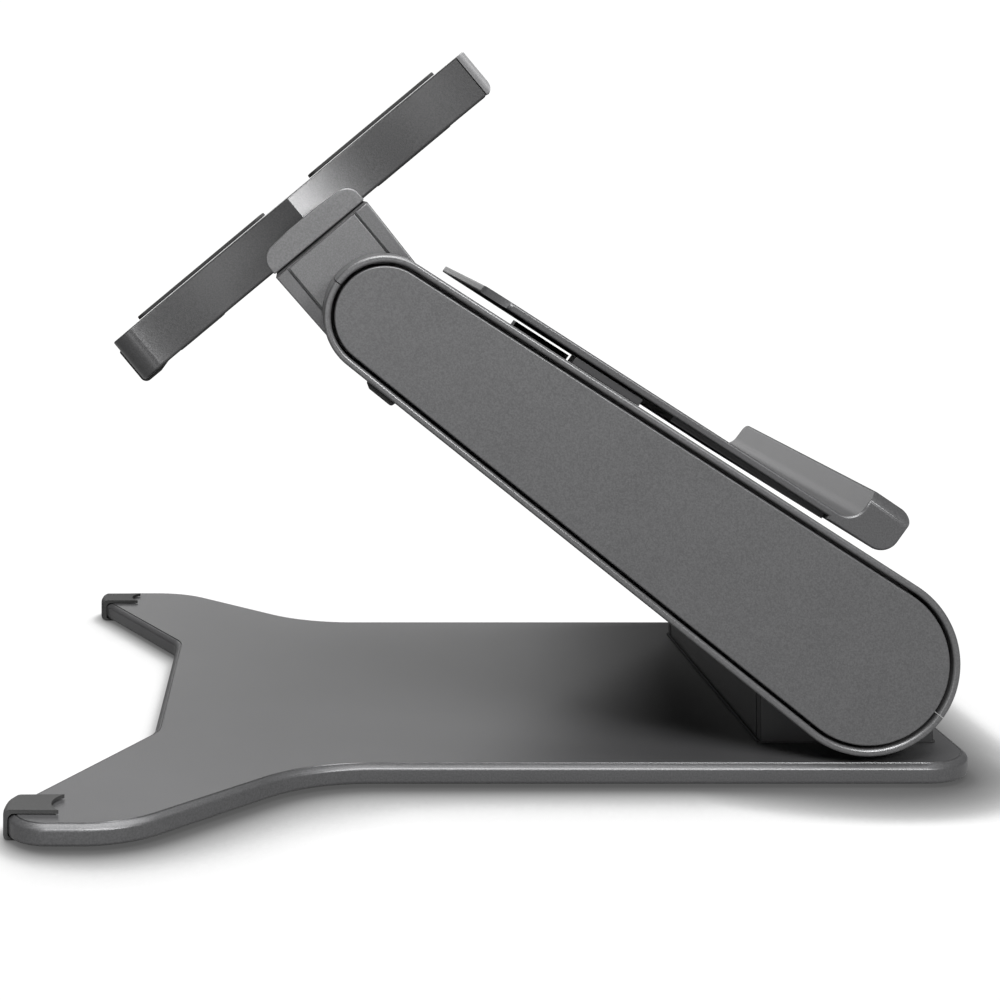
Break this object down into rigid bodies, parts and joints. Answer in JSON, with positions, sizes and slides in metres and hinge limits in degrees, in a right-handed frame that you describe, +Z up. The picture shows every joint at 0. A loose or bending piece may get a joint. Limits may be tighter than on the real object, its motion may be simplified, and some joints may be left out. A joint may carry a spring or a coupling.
{
  "type": "adjustable pen display stand",
  "caption": "Adjustable desk stand for a large pen display: Y-shaped base, wide tilting arm with a release lever, and a tilting, swivelling mount plate.",
  "frame": {"origin": "on the desk plane, on the stand's middle plane, straight below the lower hinge axis; it lies on the underside of the rear foot pad", "axes": "+Z up, +X towards the rear (the user's side is -X), Y along the hinge axes"},
  "size_m": [0.402, 0.3902, 0.312],
  "materials": {
    "painted_metal": "fine textured dark grey powder coat",
    "painted_alloy": "fine textured dark grey coat over light alloy",
    "dark_plastic": "fine grained matte",
    "steel": "zinc plated",
    "bronze": "sintered, oiled",
    "rubber": "soft matte"
  },
  "bodies": {
    "base": {"base_plate": "painted_metal", "hinge_block": "painted_alloy", "hinge_side_cover_left": "dark_plastic", "hinge_side_cover_right": "dark_plastic", "base_screw_1": "steel", "base_screw_2": "steel", "base_screw_3": "steel", "base_screw_4": "steel", "lift_spring_left": "steel", "lift_spring_right": "steel", "lower_bush_left": "bronze", "lower_bush_right": "bronze", "toe_bumper_left": "rubber", "toe_bumper_right": "rubber", "rear_foot_pad": "rubber", "middle_foot_left": "rubber", "middle_foot_right": "rubber"},
    "arm": {"arm_rear_shell": "painted_alloy", "arm_front_shell": "painted_alloy", "arm_cover_left": "painted_alloy", "arm_cover_right": "painted_alloy", "arm_side_plate_left": "steel", "arm_side_plate_right": "steel", "lower_shaft": "steel", "upper_shaft": "steel", "lower_nut_left": "steel", "lower_nut_right": "steel", "upper_nut_left": "steel", "upper_nut_right": "steel", "lever_pin_left": "steel", "lever_pin_right": "steel", "rod_spring": "steel", "rest_bumper_left": "rubber", "rest_bumper_right": "rubber", "lever_mount_left": "dark_plastic", "lever_mount_right": "dark_plastic"},
    "lever": {"release_lever": "painted_alloy", "lever_liner": "dark_plastic"},
    "release_rod": {"release_rod": "steel", "brake_shoe": "rubber"},
    "head": {"neck_housing": "painted_alloy", "neck_side_panel_left": "painted_alloy", "neck_side_panel_right": "painted_alloy", "head_cap_left": "painted_alloy", "head_cap_right": "painted_alloy", "upper_bush_left": "bronze", "upper_bush_right": "bronze", "swivel_ring": "dark_plastic"},
    "plate": {"mount_plate": "painted_alloy", "plate_end_cap": "dark_plastic", "front_pad_lower": "rubber", "front_pad_upper": "rubber", "rear_pad_lower": "rubber", "rear_pad_upper": "rubber", "plate_end_bumper": "rubber", "swivel_spindle": "steel", "spindle_nut": "steel"}
  },
  "joints": [
    {"name": "arm_lift", "type": "hinge", "parent": "base", "child": "arm", "pos_m": [0, 0, 0.0519], "axis": [0, 1, 0], "range_deg": [-10, 50]},
    {"name": "head_tilt", "type": "hinge", "parent": "arm", "child": "head", "pos_m": [-0.20221, 0, 0.19737], "axis": [0, 1, 0], "range_deg": [-90, 50]},
    {"name": "plate_swivel", "type": "hinge", "parent": "head", "child": "plate", "pos_m": [-0.20221, 0, 0.19737], "axis": [-0.6401, 0, 0.7683], "range_deg": [-20, 20]},
    {"name": "lever_squeeze", "type": "hinge", "parent": "arm", "child": "lever", "pos_m": [-0.09415, 0, 0.16077], "axis": [0, 1, 0], "range_deg": [-1.8, 0]},
    {"name": "rod_slide", "type": "slide", "parent": "arm", "child": "release_rod", "axis": [0.8118, 0, -0.584], "range_m": [0, 0.00088]}
  ],
  "couplings": [
    {"joint": "rod_slide", "follows": "lever_squeeze", "m_per_rad": -0.0274}
  ]
}
